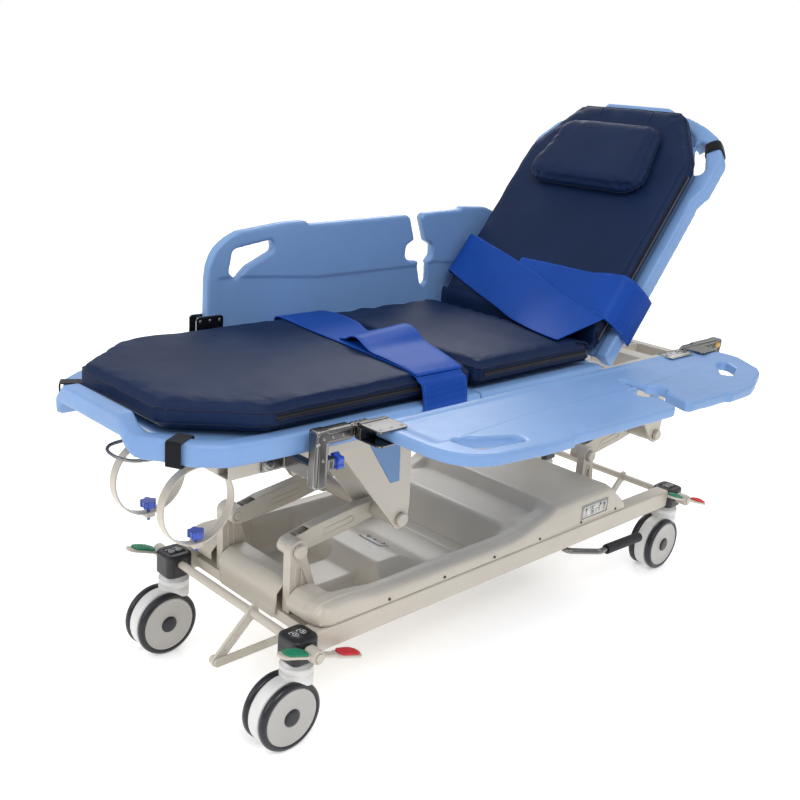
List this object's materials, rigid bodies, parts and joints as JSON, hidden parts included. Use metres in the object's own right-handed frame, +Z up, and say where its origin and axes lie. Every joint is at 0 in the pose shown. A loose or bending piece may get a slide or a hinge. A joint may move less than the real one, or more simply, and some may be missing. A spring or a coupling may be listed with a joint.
{
  "type": "patient transfer stretcher trolley",
  "caption": "Height-adjustable hospital stretcher trolley with raised backrest, folding side rails, centrally braked twin casters, padded mattress and restraint straps.",
  "frame": {"origin": "on the floor, at the centre of the four caster stems", "axes": "+X towards the head end, +Y to the patient left side, +Z up"},
  "size_m": [1.811, 0.9072, 1.2767],
  "materials": {
    "cream_paint": "semi-gloss powder coat",
    "cover_plastic": "moulded ABS, slight gloss",
    "fork_paint": "moulded nylon",
    "wheel_disc": "satin",
    "tyre_rubber": "matt",
    "housing_plastic": "textured",
    "deck_plastic": "blow-moulded polyethylene",
    "insert_plastic": "smooth",
    "green_pad": "ribbed",
    "red_pad": "ribbed",
    "knob_plastic": "smooth",
    "chrome": "polished",
    "zinc": "zinc plated",
    "black_grip": "ribbed",
    "screw_dark": "black oxide",
    "label": "printed film, blank",
    "navy_fabric": "coated nylon",
    "royal_webbing": "padded coated nylon",
    "black_webbing": "hook and loop webbing",
    "hydraulic": "satin black"
  },
  "bodies": {
    "base": {"base_frame": "cream_paint", "caster_housings": "housing_plastic", "base_cover": "cover_plastic", "cover_screws": "screw_dark", "info_plates": "label", "foot_lift_posts": "cream_paint", "head_lift_posts": "cream_paint", "hydraulic_pump": "hydraulic"},
    "foot_brake": {"foot_brake_shaft": "cream_paint", "foot_pedals": "cream_paint", "foot_green_pads": "green_pad", "foot_red_pads": "red_pad"},
    "head_brake": {"head_brake_shaft": "cream_paint", "head_pedals": "cream_paint", "head_green_pads": "green_pad", "head_red_pads": "red_pad"},
    "brake_link": {"brake_link_bar": "cream_paint"},
    "pump_pedal": {"pump_pedal_bar": "chrome", "pump_pedal_grip": "black_grip"},
    "foot_arms": {"foot_lift_arms": "cream_paint", "foot_arm_pins": "cream_paint"},
    "head_arms": {"head_lift_arms": "cream_paint", "head_arm_pins": "cream_paint"},
    "deck": {"deck_subframe": "cream_paint", "bracket_inserts": "insert_plastic", "leg_deck": "deck_plastic", "seat_deck": "deck_plastic", "leg_cushion": "navy_fabric", "seat_cushion": "navy_fabric", "leg_strap": "royal_webbing", "rail_hinge_posts": "chrome", "oxygen_rings": "cream_paint", "wire_hook": "chrome", "corner_straps": "black_webbing"},
    "back": {"back_deck": "deck_plastic", "back_hinges": "zinc", "back_cushion": "navy_fabric", "pillow": "navy_fabric", "back_strap": "royal_webbing"},
    "right_rail": {"right_rail_panel": "deck_plastic", "right_rail_clamps": "chrome"},
    "left_rail": {"left_rail_panel": "deck_plastic", "left_rail_clamps": "chrome"},
    "right_rail_lock": {"right_rail_knob": "knob_plastic"},
    "left_rail_lock": {"left_rail_knob": "knob_plastic"},
    "right_ring_lock": {"right_ring_screw": "knob_plastic"},
    "left_ring_lock": {"left_ring_screw": "knob_plastic"},
    "foot_right_caster": {"caster_fork_foot_right": "fork_paint"},
    "foot_right_wheels": {"caster_wheels_foot_right": "wheel_disc", "caster_tyres_foot_right": "tyre_rubber"},
    "foot_left_caster": {"caster_fork_foot_left": "fork_paint"},
    "foot_left_wheels": {"caster_wheels_foot_left": "wheel_disc", "caster_tyres_foot_left": "tyre_rubber"},
    "head_right_caster": {"caster_fork_head_right": "fork_paint"},
    "head_right_wheels": {"caster_wheels_head_right": "wheel_disc", "caster_tyres_head_right": "tyre_rubber"},
    "head_left_caster": {"caster_fork_head_left": "fork_paint"},
    "head_left_wheels": {"caster_wheels_head_left": "wheel_disc", "caster_tyres_head_left": "tyre_rubber"}
  },
  "joints": [
    {"name": "foot_right_swivel", "type": "hinge", "parent": "base", "child": "foot_right_caster", "pos_m": [-0.68182, -0.22329, 0.16023], "axis": [0, 0, 1], "continuous": true},
    {"name": "foot_right_spin", "type": "hinge", "parent": "foot_right_caster", "child": "foot_right_wheels", "pos_m": [-0.71506, -0.22329, 0.075], "axis": [0, 1, 0], "continuous": true},
    {"name": "foot_left_swivel", "type": "hinge", "parent": "base", "child": "foot_left_caster", "pos_m": [-0.68182, 0.22329, 0.16023], "axis": [0, 0, 1], "continuous": true},
    {"name": "foot_left_spin", "type": "hinge", "parent": "foot_left_caster", "child": "foot_left_wheels", "pos_m": [-0.71506, 0.22329, 0.075], "axis": [0, 1, 0], "continuous": true},
    {"name": "head_right_swivel", "type": "hinge", "parent": "base", "child": "head_right_caster", "pos_m": [0.68182, -0.22329, 0.16023], "axis": [0, 0, 1], "continuous": true},
    {"name": "head_right_spin", "type": "hinge", "parent": "head_right_caster", "child": "head_right_wheels", "pos_m": [0.64858, -0.22329, 0.075], "axis": [0, 1, 0], "continuous": true},
    {"name": "head_left_swivel", "type": "hinge", "parent": "base", "child": "head_left_caster", "pos_m": [0.68182, 0.22329, 0.16023], "axis": [0, 0, 1], "continuous": true},
    {"name": "head_left_spin", "type": "hinge", "parent": "head_left_caster", "child": "head_left_wheels", "pos_m": [0.64858, 0.22329, 0.075], "axis": [0, 1, 0], "continuous": true},
    {"name": "brake_foot_shaft", "type": "hinge", "parent": "base", "child": "foot_brake", "pos_m": [-0.68182, 0, 0.21477], "axis": [0, -1, 0], "range_deg": [0, 30]},
    {"name": "brake_head_shaft", "type": "hinge", "parent": "base", "child": "head_brake", "pos_m": [0.68182, 0, 0.21477], "axis": [0, -1, 0], "range_deg": [0, 30]},
    {"name": "brake_link_pivot", "type": "hinge", "parent": "foot_brake", "child": "brake_link", "pos_m": [-0.7696, -0.07969, 0.13125], "axis": [0, -1, 0], "range_deg": [-30, 0]},
    {"name": "pump_pedal_press", "type": "hinge", "parent": "base", "child": "pump_pedal", "pos_m": [0.24716, -0.0767, 0.16449], "axis": [1, 0, 0], "range_deg": [0, 20]},
    {"name": "lift", "type": "hinge", "parent": "base", "child": "foot_arms", "pos_m": [-0.61108, 0, 0.35838], "axis": [0, -1, 0], "range_deg": [-40, 24]},
    {"name": "deck_level", "type": "hinge", "parent": "foot_arms", "child": "deck", "pos_m": [-0.37454, 0, 0.38994], "axis": [0, -1, 0], "range_deg": [-24, 40]},
    {"name": "lift_head", "type": "hinge", "parent": "base", "child": "head_arms", "pos_m": [0.39972, 0, 0.35838], "axis": [0, -1, 0], "range_deg": [-40, 24]},
    {"name": "backrest", "type": "hinge", "parent": "deck", "child": "back", "pos_m": [0.17898, 0, 0.67159], "axis": [0, -1, 0], "range_deg": [-52, 23]},
    {"name": "right_rail_fold", "type": "hinge", "parent": "deck", "child": "right_rail", "pos_m": [0, -0.3, 0.68182], "axis": [-1, 0, 0], "range_deg": [0, 90]},
    {"name": "left_rail_fold", "type": "hinge", "parent": "deck", "child": "left_rail", "pos_m": [0, 0.3, 0.68182], "axis": [-1, 0, 0], "range_deg": [0, 90]},
    {"name": "right_rail_knob_turn", "type": "hinge", "parent": "deck", "child": "right_rail_lock", "pos_m": [-0.68608, -0.3, 0.62727], "axis": [1, 0, 0], "continuous": true},
    {"name": "left_rail_knob_turn", "type": "hinge", "parent": "deck", "child": "left_rail_lock", "pos_m": [-0.68608, 0.3, 0.62727], "axis": [1, 0, 0], "continuous": true},
    {"name": "right_ring_screw_turn", "type": "hinge", "parent": "deck", "child": "right_ring_lock", "pos_m": [-0.83182, -0.08523, 0.41591], "axis": [0, 0, 1], "continuous": true},
    {"name": "left_ring_screw_turn", "type": "hinge", "parent": "deck", "child": "left_ring_lock", "pos_m": [-0.83182, 0.08523, 0.41591], "axis": [0, 0, 1], "continuous": true}
  ],
  "couplings": [
    {"joint": "brake_head_shaft", "follows": "brake_foot_shaft", "ratio": 1},
    {"joint": "brake_link_pivot", "follows": "brake_foot_shaft", "ratio": -1},
    {"joint": "deck_level", "follows": "lift", "ratio": -1},
    {"joint": "lift_head", "follows": "lift", "ratio": 1}
  ]
}
